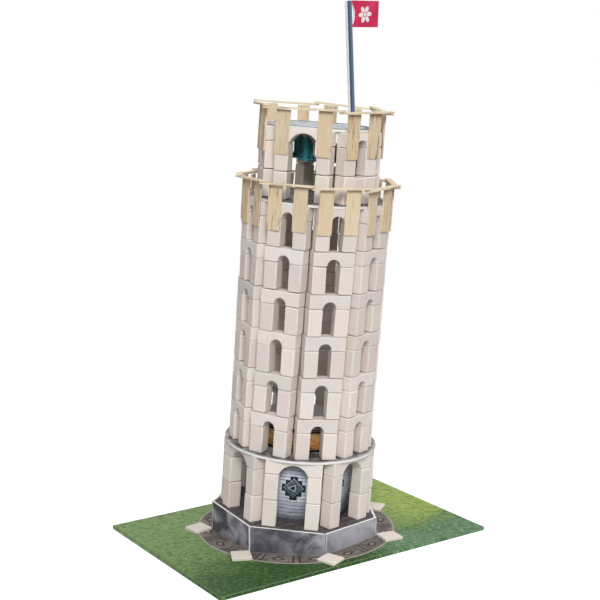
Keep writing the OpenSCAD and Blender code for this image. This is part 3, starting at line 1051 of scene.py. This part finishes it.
def solids(node: str) -> list[bmesh.types.BMesh]:
    """A CAD node's separate solids, each as its own mesh.

    Args:
        node: the CAD node's name.

    Returns:
        The meshes, in the order of their lowest vertex index.
    """
    whole = welded(node)
    whole.verts.ensure_lookup_table()
    seen: set[bmesh.types.BMVert] = set()
    found = []
    for start in whole.verts:
        if start in seen:
            continue
        stack, group = [start], [start]
        seen.add(start)
        while stack:
            for edge in stack.pop().link_edges:
                for vert in edge.verts:
                    if vert not in seen:
                        seen.add(vert)
                        group.append(vert)
                        stack.append(vert)
        part = bmesh.new()
        copied = {vert: part.verts.new(vert.co) for vert in group}
        for face in {face for vert in group for face in vert.link_faces}:
            part.faces.new([copied[vert] for vert in face.verts])
        part.normal_update()
        found.append(part)
    whole.free()
    return found


def solid_middle(solid: bmesh.types.BMesh) -> Vector:
    """The mean of a mesh's corners."""
    return sum((vert.co for vert in solid.verts), Vector()) / len(solid.verts)


def round_edges(solid: bmesh.types.BMesh, radius: float, segments: int = 3,
                wanted: Callable[[bmesh.types.BMEdge], bool] | None = None) -> set[int]:
    """Rounds a mesh's sharp edges and shades its curved faces smooth.

    Args:
        solid: the mesh.
        radius: how far the rounding reaches.
        segments: steps across a rounded edge.
        wanted: tests an edge, or None for every sharp edge.

    Returns:
        The indices of the rounded faces.
    """
    flat, sharp = math.radians(0.5), math.radians(30)
    for face in solid.faces:
        face.smooth = any(flat < edge.calc_face_angle(0.0) < sharp for edge in face.edges)
    edges = [edge for edge in solid.edges if edge.calc_face_angle(0.0) >= sharp
             and (wanted is None or wanted(edge))]
    made = bmesh.ops.bevel(solid, geom=edges, offset=radius, offset_type="OFFSET",
                           segments=segments, profile=0.5, affect="EDGES", clamp_overlap=True)
    for face in made["faces"]:
        face.smooth = True
    solid.normal_update()
    solid.faces.index_update()
    return {face.index for face in made["faces"]}


# ---------------------------------------------------------------- the tower's own frame


def corners(node: str) -> list[Vector]:
    """The places of a CAD node's vertices."""
    return [vert.co for vert in frame["nodes"][node].data.vertices]


@dataclass
class TowerFrame:
    """The tower's upright frame: z runs up its axis from the plinth's top."""

    up: Vector = field(init=False)
    base: Vector = field(init=False)
    across: Vector = field(init=False)
    back: Vector = field(init=False)

    def __post_init__(self) -> None:
        """Reads the axis from the discs and the base from the drum."""
        self.up = (self.middle("roof_disc") - self.middle("first_disc")).normalized()
        drum = self.middle("core_drum")
        lowest = min((corner - drum).dot(self.up) for corner in corners("core_drum"))
        self.base = drum + self.up * lowest
        self.across = (Vector((1, 0, 0)) - self.up * self.up.x).normalized()
        self.back = self.up.cross(self.across)

    @staticmethod
    def middle(node: str) -> Vector:
        """The middle of a CAD node's box."""
        low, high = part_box(node)
        return (low + high) / 2

    def local(self, point: Vector) -> Vector:
        """A place in the tower's own frame."""
        away = point - self.base
        return Vector((away.dot(self.across), away.dot(self.back), away.dot(self.up)))

    def reach(self, point: Vector) -> float:
        """A place's distance from the tower's axis."""
        return self.local(point).to_2d().length

    def angle(self, point: Vector) -> float:
        """A place's direction round the tower's axis, in radians."""
        at = self.local(point)
        return math.atan2(at.y, at.x)

    def unrolled(self, point: Vector, radius: float, near: float) -> Vector:
        """A place on a rolled sheet, laid flat.

        Args:
            point: the place.
            radius: the roll's outer radius.
            near: an angle that the result's angle stays within half a turn of.

        Returns:
            The run round the roll, the height above the plinth, and the radius.
        """
        angle = self.angle(point)
        angle += 2 * math.pi * round((near - angle) / (2 * math.pi))
        return Vector((angle * radius, self.local(point).z, self.reach(point)))

    def outward(self, point: Vector) -> Vector:
        """The direction from the tower's axis to a place, square to the axis."""
        away = point - self.base
        return (away - self.up * away.dot(self.up)).normalized()


# ---------------------------------------------------------------- kinds of piece


@dataclass(frozen=True)
class Loose:
    """How far hand-set solids stray from their places.

    Shifts, shrink and corner are in metres, and turns in degrees. A skew keeps flat faces flat, and a
    corner shift does not. Chips is the share of solids with a chipped corner.
    """

    shift_out: float = 0.0
    shift_along: float = 0.0
    turn: float = 0.0
    tilt: float = 0.0
    shrink: float = 0.0
    skew: float = 0.0
    corner: float = 0.0
    chips: float = 0.0


PILLAR_LOOSE = Loose(shift_out=0.38 * MM, shift_along=0.06 * MM, turn=0.95, tilt=0.35,
                     shrink=0.26 * MM, skew=0.006, corner=0.08 * MM, chips=0.18)
ARCH_LOOSE = replace(PILLAR_LOOSE, turn=0.5, tilt=0.16, corner=0.0, chips=0.0)
TILE_LOOSE = Loose(corner=0.2 * MM, chips=0.7)
SLAT_LOOSE = Loose(shift_along=0.2 * MM, tilt=0.9, shrink=0.4 * MM, corner=0.07 * MM, chips=0.3)
BATTEN_LOOSE = Loose(shrink=0.5 * MM, corner=0.09 * MM, chips=0.4)


@dataclass
class Laid:
    """Solids of one CAD node that were set by hand: bricks, tiles, slats or battens."""

    node: str
    finish: Finish
    slot: str
    tower: TowerFrame
    loose: Loose
    radius: float
    upright: bool = True
    along_grain: bool = False
    chip: float = 0.6 * MM

    def axes(self, middle: Vector, solid: bmesh.types.BMesh) -> Matrix:
        """The solid's own axes: x outwards, y along its face and z up, or z along its length.

        Args:
            middle: the solid's middle.
            solid: its mesh.

        Returns:
            A matrix whose columns are the axes.
        """
        out = self.tower.outward(middle)
        up = self.tower.up
        if not self.upright:
            longest = max(solid.edges, key=lambda edge: edge.calc_length())
            up = (longest.verts[0].co - longest.verts[1].co).normalized()
        elif not self.along_grain:
            flat = max((face for face in solid.faces if abs(face.normal.dot(up)) < 0.3),
                       key=lambda face: face.normal.dot(out))
            out = flat.normal.copy()
        out = (out - up * out.dot(up)).normalized()
        return Matrix((out, up.cross(out), up)).transposed()

    def set_by_hand(self, solid: bmesh.types.BMesh, middle: Vector, axes: Matrix,
                    draw: random.Random) -> None:
        """Shifts, turns and roughens one solid.

        Args:
            solid: its mesh.
            middle: its middle.
            axes: its own axes.
            draw: the random source.
        """
        loose = self.loose
        out, along, up = axes.col
        move = (out * draw.uniform(-0.6, 1.0) * loose.shift_out
                + along * draw.uniform(-1, 1) * loose.shift_along)
        turn = (Matrix.Rotation(math.radians(draw.gauss(0, loose.turn)), 3, up)
                @ Matrix.Rotation(math.radians(draw.gauss(0, loose.tilt)), 3, out))
        tall = max(abs((vert.co - middle).dot(up)) for vert in solid.verts)
        squash = loose.shrink * draw.uniform(0.2, 1.0) / tall
        lean = out * draw.uniform(-1, 1) * loose.skew + along * draw.uniform(-1, 1) * loose.skew
        chipped = draw.randrange(len(solid.verts)) if draw.random() < loose.chips else -1
        for index, vert in enumerate(solid.verts):
            away = vert.co - middle
            rise = away.dot(up)
            away += lean * rise - up * rise * squash
            if loose.corner:
                away += (out * draw.uniform(-1, 1) + along * draw.uniform(-1, 1)) * loose.corner
            if index == chipped:
                away *= 1 - self.chip / away.length
            vert.co = middle + turn @ away + move
        solid.normal_update()

    def build(self, name: str, fx: Effects) -> bpy.types.Object:
        """Builds and dresses the solids as one piece.

        Args:
            name: the piece's name.
            fx: the shared effects.

        Returns:
            The piece.
        """
        gathering = Gathering(name)
        draw = random.Random(name)
        for solid in solids(self.node):
            middle = solid_middle(solid)
            axes = self.axes(middle, solid)
            self.set_by_hand(solid, middle, axes, draw)
            rounded = round_edges(solid, self.radius * draw.uniform(0.75, 1.2))
            chance = Vector((draw.random(), draw.random(), draw.random()))
            turned = axes.transposed()
            gathering.add(solid, rounded, lambda co: turned @ (co - middle) + chance * 0.5, chance)
            solid.free()
        return gathering.finish([self.finish], fx, [self.node], TOWER, self.slot)


@dataclass
class Card:
    """A cut piece of card: printed faces and bare cut edges.

    Its own frame is one function for all of it, or a function that gives each face its own frame.
    """

    node: str
    finish: Finish
    slot: str
    own: OwnFrame = lambda co: co
    own_near: Callable[[bmesh.types.BMFace], OwnFrame] | None = None
    raw: RawCard = RawCard("raw_card", roughness=0.9, bump_mm=0.03)
    is_raw: Callable[[bmesh.types.BMFace], bool] = lambda face: False
    radius: float = 0.13 * MM
    wanted: Callable[[bmesh.types.BMEdge], bool] | None = None

    def build(self, name: str, fx: Effects, body: str = TOWER) -> bpy.types.Object:
        """Builds and dresses the card.

        Args:
            name: the piece's name.
            fx: the shared effects.
            body: the body that it rides on.

        Returns:
            The piece.
        """
        gathering = Gathering(name)
        solid = welded(self.node)
        rounded = round_edges(solid, self.radius, 2, self.wanted) if self.radius else set()
        raw = {face.index for face in solid.faces if face.index in rounded or self.is_raw(face)}
        gathering.add(solid, rounded, self.own, Vector((0.5, 0.5, 0.5)),
                      lambda face: 1 if face.index in raw else 0)
        if self.own_near:
            for face in gathering.bm.faces:
                own_here = self.own_near(face)
                for loop in face.loops:
                    loop[gathering.own] = own_here(loop.vert.co) / MM
        solid.free()
        return gathering.finish([self.finish, self.raw], fx, [self.node], body, self.slot)


# ---------------------------------------------------------------- sub-assemblies


@dataclass
class Assembly:
    """A sub-assembly of the model."""

    tower: TowerFrame
    fx: Effects

    def build(self) -> None:
        """Builds and dresses every piece."""
        raise NotImplementedError


@dataclass
class Base(Assembly):
    """The baseboard, its paving tiles and the plinth."""

    sides: int = 7
    first_corner: float = math.radians(-156)
    board_edge: RawCard = RawCard("board_edge", colour=(0.13, 0.20, 0.08))
    tile: CastFinish = CastFinish("tile", pale=(0.82, 0.74, 0.68), blush=(0.81, 0.71, 0.66))

    @property
    def centre(self) -> Vector:
        """The middle of the plinth on the board."""
        return Vector((self.tower.base.x, self.tower.base.y, 0.0))

    @property
    def corner_radius(self) -> float:
        """The plinth wall's corner radius."""
        return max((Vector((corner.x, corner.y, 0)) - self.centre).length
                   for corner in corners("plinth_wall"))

    @property
    def side_length(self) -> float:
        """The length of one side of the plinth wall."""
        return 2 * self.corner_radius * math.sin(math.pi / self.sides)

    def round_the_wall(self, face: bmesh.types.BMFace) -> OwnFrame:
        """The frame of one side of the plinth wall.

        Args:
            face: a face of the wall.

        Returns:
            A function that turns a place into (run round the wall, height, depth).
        """
        step = 2 * math.pi / self.sides
        away = face.calc_center_median() - self.centre
        turn = (math.atan2(away.y, away.x) - self.first_corner) % (2 * math.pi)
        side = math.floor(turn / step)
        start = self.first_corner + side * step
        middle = start + step / 2
        first = self.centre + self.corner_radius * Vector((math.cos(start), math.sin(start), 0))
        along = Vector((-math.sin(middle), math.cos(middle), 0))
        inward = -Vector((math.cos(middle), math.sin(middle), 0))
        run = side * self.side_length
        board_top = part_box("baseboard")[1].z

        def flat(co: Vector) -> Vector:
            """(Run round the wall, height above the board, depth into the card)."""
            from_first = co - first
            return Vector((run + from_first.dot(along), co.z - board_top, from_first.dot(inward)))

        return flat

    def is_cut(self, face: bmesh.types.BMFace) -> bool:
        """Whether a face of the plinth wall is a cut edge or the bare inside."""
        away = face.calc_center_median() - self.centre
        return (face.normal.dot(self.tower.up) > 0.7
                or face.normal.dot(Vector((away.x, away.y, 0)).normalized()) < 0.5)

    def build(self) -> None:
        """See Assembly.build."""
        centre_mm = (self.centre.x / MM, self.centre.y / MM)
        grass = GrassPrint("grass_print", roughness=0.62, centre_mm=centre_mm)
        Card("baseboard", grass, "grass_board", raw=self.board_edge,
             radius=0.35 * MM).build("printed_baseboard", self.fx)
        Laid("paving_tiles", self.tile, "tile", self.tower, TILE_LOOSE,
             radius=0.3 * MM).build("paving_squares", self.fx)
        plinth = PlinthPrint("plinth_print", side_mm=self.side_length / MM)
        Card("plinth_wall", plinth, "plinth_card", own_near=self.round_the_wall,
             is_raw=self.is_cut).build("plinth_strip", self.fx)
        Card("plinth_top", PavedPrint("plinth_paving"), "paved_card", own=self.tower.local,
             radius=0.0).build("plinth_sheet", self.fx)


@dataclass
class Rolls(Assembly):
    """The rolled card inside the tower: the core drum and the sleeve above it."""

    def bay_angles(self, node: str) -> list[float]:
        """The directions that a ring's solids face, sorted."""
        return sorted(self.tower.angle(solid_middle(solid)) for solid in solids(node))

    def radius_of(self, node: str) -> float:
        """A roll's outer radius."""
        return max(self.tower.reach(corner) for corner in corners(node))

    def roll(self, node: str, name: str, finish: Finish, slot: str) -> None:
        """Builds one rolled sheet.

        Args:
            node: the CAD node.
            name: the piece's name.
            finish: the print.
            slot: the record's material slot.
        """
        tower, radius = self.tower, self.radius_of(node)

        def near(face: bmesh.types.BMFace) -> OwnFrame:
            """The unrolled frame near one face."""
            angle = tower.angle(face.calc_center_median())
            return lambda co: tower.unrolled(co, radius, angle)

        Card(node, finish, slot, own_near=near, radius=0.0,
             is_raw=lambda face: face.normal.dot(tower.outward(face.calc_center_median())) < 0.5,
             ).build(name, self.fx)

    def build(self) -> None:
        """See Assembly.build."""
        drum = self.radius_of("core_drum")
        bays = self.bay_angles("ground_arches")
        drum_print = DrumPrint("drum_print", bay_mm=2 * math.pi * drum / len(bays) / MM,
                               first_bay_mm=bays[0] * drum / MM)
        foot = min(self.tower.local(corner).z for corner in corners("inner_sleeve"))
        self.roll("core_drum", "printed_drum", drum_print, "drum_card")
        self.roll("inner_sleeve", "printed_sleeve", SleevePrint("sleeve_print", foot_mm=foot / MM),
                  "sleeve_card")


@dataclass
class Discs(Assembly):
    """The three round sheets."""

    def disc(self, node: str, name: str, look: DiscLook, slot: str) -> None:
        """Builds one disc.

        Args:
            node: the CAD node.
            name: the piece's name.
            look: its picture.
            slot: the record's material slot.
        """
        tower = self.tower
        radius = max(tower.reach(corner) for corner in corners(node))

        def on_rim(edge: bmesh.types.BMEdge) -> bool:
            """Whether an edge lies on the disc's outer rim."""
            return all(tower.reach(vert.co) > 0.99 * radius for vert in edge.verts)

        picture = DiscPrint(node + "_print", roughness=0.6, look=look, radius_mm=radius / MM)
        Card(node, picture, slot, own=tower.local, wanted=on_rim, radius=0.12 * MM,
             is_raw=lambda face: face.normal.dot(tower.up) < 0.7).build(name, self.fx)

    def build(self) -> None:
        """See Assembly.build."""
        self.disc("first_disc", "first_floor_disc", DiscLook.MARBLE, "disc_card")
        self.disc("second_disc", "belfry_floor_disc", DiscLook.SLAB, "disc_card")
        self.disc("roof_disc", "roof_sheet", DiscLook.ROOF, "roof_card")


@dataclass
class Brickwork(Assembly):
    """Every brick of the tower, one piece for each course."""

    galleries: int = 6
    pillar: CastFinish = CastFinish("pillar_brick", roughness=0.88, bump_mm=0.10)
    arch: CastFinish = CastFinish("arch_brick", roughness=0.88, bump_mm=0.10,
                                  pale=(0.80, 0.735, 0.685), blush=(0.795, 0.705, 0.655))

    def course(self, node: str) -> Laid:
        """One course of bricks."""
        if node.endswith("arches"):
            return Laid(node, self.arch, "arch_brick", self.tower, ARCH_LOOSE, radius=0.6 * MM)
        return Laid(node, self.pillar, "pillar_brick", self.tower, PILLAR_LOOSE, radius=0.85 * MM)

    def build(self) -> None:
        """See Assembly.build."""
        nodes = ["ground_lower_pillars", "ground_upper_pillars", "ground_arches"]
        for storey in range(1, self.galleries + 1):
            nodes += [f"gallery_{storey}_pillars", f"gallery_{storey}_arches"]
        nodes += ["belfry_lower_pillars", "belfry_sills", "belfry_upper_pillars",
                  "belfry_large_arches", "belfry_small_arches"]
        for node in nodes:
            self.course(node).build(node + "_set", self.fx)


@dataclass
class Fences(Assembly):
    """The wooden slats and the battens that lie on them."""

    slat: WoodFinish = WoodFinish("slat_wood", roughness=0.72, bump_mm=0.12, lines=0.6)
    batten: WoodFinish = WoodFinish("batten_wood", roughness=0.75, bump_mm=0.12, lines=0.35,
                                    pale=(0.84, 0.73, 0.55), deep=(0.72, 0.56, 0.36))
    radius: float = 0.14 * MM

    def build(self) -> None:
        """See Assembly.build."""
        for level in ("lower", "upper"):
            Laid(f"{level}_fence_slats", self.slat, "pale_wood", self.tower, SLAT_LOOSE, self.radius,
                 along_grain=True).build(f"{level}_slats", self.fx)
            Laid(f"{level}_fence_battens", self.batten, "pale_wood", self.tower, BATTEN_LOOSE,
                 self.radius, upright=False).build(f"{level}_battens", self.fx)


@dataclass
class Bells(Assembly):
    """The three flat bells and the wire hooks that they swing on."""

    bell: BellPrint = BellPrint("bell_print", roughness=0.5, specular=0.5)
    steel: WireFinish = WireFinish("hook_wire", roughness=0.32, bump_mm=0.01, specular=0.5)
    wire: float = 0.8 * MM
    reach: float = 1.9 * MM
    tip: float = 0.9 * MM
    bend: float = 0.45 * MM

    def build_bell(self, name: str, pivot: Vector, axis: Vector) -> None:
        """Builds one bell.

        Args:
            name: the CAD node's name, which is also its body's.
            pivot: the point that it swings about.
            axis: the direction of the wire that it swings on.
        """
        side = Vector((0, 0, 1)).cross(axis).normalized()
        up = axis.cross(side)

        def own(co: Vector) -> Vector:
            """(Across, depth, height from the pivot)."""
            away = co - pivot
            return Vector((away.dot(side), away.dot(axis), away.dot(up)))

        Card(name, self.bell, "bell_card", own=own, radius=0.10 * MM,
             is_raw=lambda face: abs(face.normal.dot(axis)) < 0.5,
             ).build(name + "_card", self.fx, name)

    def bent(self, path: list[Vector], steps: int = 4) -> list[Vector]:
        """Rounds a path's inner corners.

        Args:
            path: its ends and corners.
            steps: lines in each bend.

        Returns:
            The points of the bent path.
        """
        points = [path[0]]
        for before, corner, after in zip(path, path[1:], path[2:]):
            start = corner + (before - corner).normalized() * self.bend
            end = corner + (after - corner).normalized() * self.bend
            for step in range(steps + 1):
                share = step / steps
                points.append(start.lerp(corner, share).lerp(corner.lerp(end, share), share))
        return points + [path[-1]]

    def build_hook(self, name: str, pivot: Vector, axis: Vector) -> None:
        """Builds one bent hook, which goes up through the roof disc.

        Args:
            name: the bell's name.
            pivot: the point that the bell swings about.
            axis: the direction of the wire at the pivot.
        """
        up = self.tower.up
        roof = max(self.tower.local(corner).z for corner in corners("roof_disc"))
        highest = max(corners(name + "_hook"), key=lambda corner: corner.dot(up))
        side = axis * math.copysign(self.reach, (highest - pivot).dot(axis))
        points = self.bent([pivot - side + up * self.tip, pivot - side, pivot + side,
                            pivot + side + up * (roof - self.tower.local(pivot).z)])
        curve = bpy.data.curves.new(name + "_wire", "CURVE")
        curve.dimensions = "3D"
        curve.bevel_depth = self.wire / 2
        curve.bevel_resolution = 4
        curve.use_fill_caps = True
        spline = curve.splines.new("POLY")
        spline.points.add(len(points) - 1)
        for target, point in zip(spline.points, points):
            target.co = (*point, 1.0)
        curve.materials.append(self.steel.make(self.fx))
        made = bpy.data.objects.new(name + "_wire", curve)
        bpy.context.scene.collection.objects.link(made)
        place(made, [name + "_hook"], TOWER)

    def build(self) -> None:
        """See Assembly.build."""
        for joint in frame["joints"]:
            pivot, axis = Vector(joint["pos_m"]), Vector(joint["axis"]).normalized()
            self.build_bell(joint["child"], pivot, axis)
            self.build_hook(joint["child"], pivot, axis)


@dataclass
class Flag(Assembly):
    """The flag and its pole, one piece of card."""

    pole_half: float = 2.3 * MM

    def build(self) -> None:
        """See Assembly.build."""
        solid = welded("flag_and_pole")
        normal = max(solid.faces, key=lambda face: face.calc_area()).normal.copy()
        longest = max(solid.edges, key=lambda edge: edge.calc_length())
        low, high = sorted((vert.co.copy() for vert in longest.verts), key=lambda co: co.z)
        up = (high - low).normalized()
        fly = normal.cross(up).normalized()
        if (solid_middle(solid) - low).dot(fly) < 0:
            fly = -fly
        hoist = min((vert.co - low).dot(fly) for vert in solid.verts)
        rise = max((vert.co - low).dot(up) for vert in solid.verts
                   if (vert.co - low).dot(fly) < 2 * self.pole_half + hoist)
        corner = low + fly * (hoist + self.pole_half) + up * rise
        solid.free()

        def own(co: Vector) -> Vector:
            """(From the pole's middle towards the fly, down from its top, depth)."""
            away = co - corner
            return Vector((away.dot(fly), -away.dot(up), away.dot(normal)))

        picture = FlagPrint("flag_print", roughness=0.55, pole_half_mm=self.pole_half / MM)
        Card("flag_and_pole", picture, "flag_card", own=own, radius=0.10 * MM,
             is_raw=lambda face: abs(face.normal.dot(normal)) < 0.5).build("flag_card", self.fx)


# ---------------------------------------------------------------- studio


@dataclass(frozen=True)
class SoftLight:
    """A square soft light that faces the model.

    Its azimuth runs from +X towards +Y, and both angles are in degrees. Its size is in metres.
    """

    name: str
    azimuth: float
    elevation: float
    size: float
    watts: float
    colour: Colour = (1.0, 1.0, 1.0)
    distance: float = 1.6
    aim_height: float = 0.17

    def hang(self) -> None:
        """Adds the light to the scene."""
        data = bpy.data.lights.new(self.name, "AREA")
        data.size = self.size
        data.energy = self.watts
        data.color = self.colour
        made = bpy.data.objects.new(self.name, data)
        turn, rise = math.radians(self.azimuth), math.radians(self.elevation)
        away = Vector((math.cos(turn) * math.cos(rise), math.sin(turn) * math.cos(rise),
                       math.sin(rise)))
        made.location = Vector((0, 0, self.aim_height)) + away * self.distance
        made.rotation_euler = away.to_track_quat("Z", "Y").to_euler()
        bpy.context.scene.collection.objects.link(made)


LIGHTS = (
    SoftLight("key", azimuth=-121.0, elevation=32.0, size=0.6, watts=20.0,
              colour=(0.985, 0.99, 1.0)),
    SoftLight("overhead", azimuth=-60.0, elevation=76.0, size=1.2, watts=6.0),
    SoftLight("right fill", azimuth=-28.0, elevation=30.0, size=0.9, watts=5.0),
    SoftLight("left fill", azimuth=150.0, elevation=30.0, size=0.9, watts=3.0),
    SoftLight("back fill", azimuth=60.0, elevation=35.0, size=0.9, watts=5.0),
)


@dataclass
class Studio:
    """Floor, lights and camera."""

    yaw: float = math.radians(34.54)
    pitch: float = math.radians(10.61)
    roll: float = math.radians(0.296)
    distance: float = 0.9073
    aim: Vector = field(default_factory=lambda: Vector((0.0171, 0.0244, 0.1617)))
    lens: float = 76.01
    floor_radius: float = 3.0
    fade: tuple[float, float] = (0.55, 0.2)
    floor_tones: tuple[Colour, Colour] = ((0.80, 0.80, 0.80), (0.84, 0.84, 0.84))
    floor_glow: float = 0.55
    sky: float = 0.18

    def camera(self) -> None:
        """Sets the camera."""
        ahead = Vector((math.sin(self.yaw) * math.cos(self.pitch),
                        math.cos(self.yaw) * math.cos(self.pitch), -math.sin(self.pitch)))
        level = Vector((math.cos(self.yaw), -math.sin(self.yaw), 0))
        above = level.cross(ahead)
        right = level * math.cos(self.roll) + above * math.sin(self.roll)
        up = above * math.cos(self.roll) - level * math.sin(self.roll)
        data = bpy.data.cameras.new("camera")
        data.lens = self.lens
        data.sensor_width = 36.0
        data.clip_start = 0.01
        made = bpy.data.objects.new("camera", data)
        made.matrix_world = Matrix.LocRotScale(
            self.aim - ahead * self.distance, Matrix((right, up, -ahead)).transposed(), None)
        bpy.context.scene.collection.objects.link(made)
        bpy.context.scene.camera = made

    def floor(self) -> None:
        """Lays a pale floor that fades out far from the model."""
        mesh = bpy.data.meshes.new("floor")
        bm = bmesh.new()
        bmesh.ops.create_circle(bm, cap_ends=True, radius=self.floor_radius, segments=96)
        bm.to_mesh(mesh)
        bm.free()
        made = bpy.data.objects.new("floor", mesh)
        bpy.context.scene.collection.objects.link(made)
        material = bpy.data.materials.new("pale_floor")
        material.use_nodes = True
        g = Graph(material.node_tree)
        shader = material.node_tree.nodes["Principled BSDF"]
        shader.inputs["Roughness"].default_value = 0.9
        shader.inputs["Specular IOR Level"].default_value = 0.1
        shader.inputs["Emission Color"].default_value = (1.0, 1.0, 1.0, 1.0)
        seen = g.node("ShaderNodeLightPath").outputs["Is Camera Ray"]
        g.feed(shader.inputs["Emission Strength"], g.math("MULTIPLY", seen, self.floor_glow))
        at = g.node("ShaderNodeTexCoord").outputs["Object"]
        x, y, _ = g.split(at)
        g.feed(shader.inputs["Base Color"], g.blend(g.noise(at, 300.0, 2.0), *self.floor_tones))
        g.feed(shader.inputs["Alpha"], g.rise(g.length(x, y), *self.fade))
        mesh.materials.append(material)

    def world(self) -> None:
        """Soft even light, and a white background where the camera looks past everything."""
        world = bpy.data.worlds.new("studio")
        bpy.context.scene.world = world
        world.use_nodes = True
        g = Graph(world.node_tree)
        lit = world.node_tree.nodes["Background"]
        lit.inputs["Color"].default_value = (1.0, 1.0, 1.0, 1.0)
        lit.inputs["Strength"].default_value = self.sky
        seen = g.node("ShaderNodeBackground", Color=(1.0, 1.0, 1.0), Strength=1.0)
        mixed = g.node("ShaderNodeMixShader")
        g.feed(mixed.inputs[0], g.node("ShaderNodeLightPath").outputs["Is Camera Ray"])
        g.feed(mixed.inputs[1], lit.outputs[0])
        g.feed(mixed.inputs[2], seen.outputs[0])
        g.feed(world.node_tree.nodes["World Output"].inputs["Surface"], mixed.outputs[0])

    def build(self) -> None:
        """Sets the whole studio."""
        bpy.context.scene.view_settings.view_transform = "Standard"
        self.camera()
        self.floor()
        self.world()
        for light in LIGHTS:
            light.hang()


def main() -> None:
    """Builds the studio and then the model from its board to its flag."""
    logging.basicConfig(level=logging.INFO, format="%(message)s")
    Studio().build()
    fx = Effects()
    tower = TowerFrame()
    for kind in (Base, Rolls, Discs, Brickwork, Fences, Bells, Flag):
        kind(tower, fx).build()


if __name__ == "__main__":
    main()
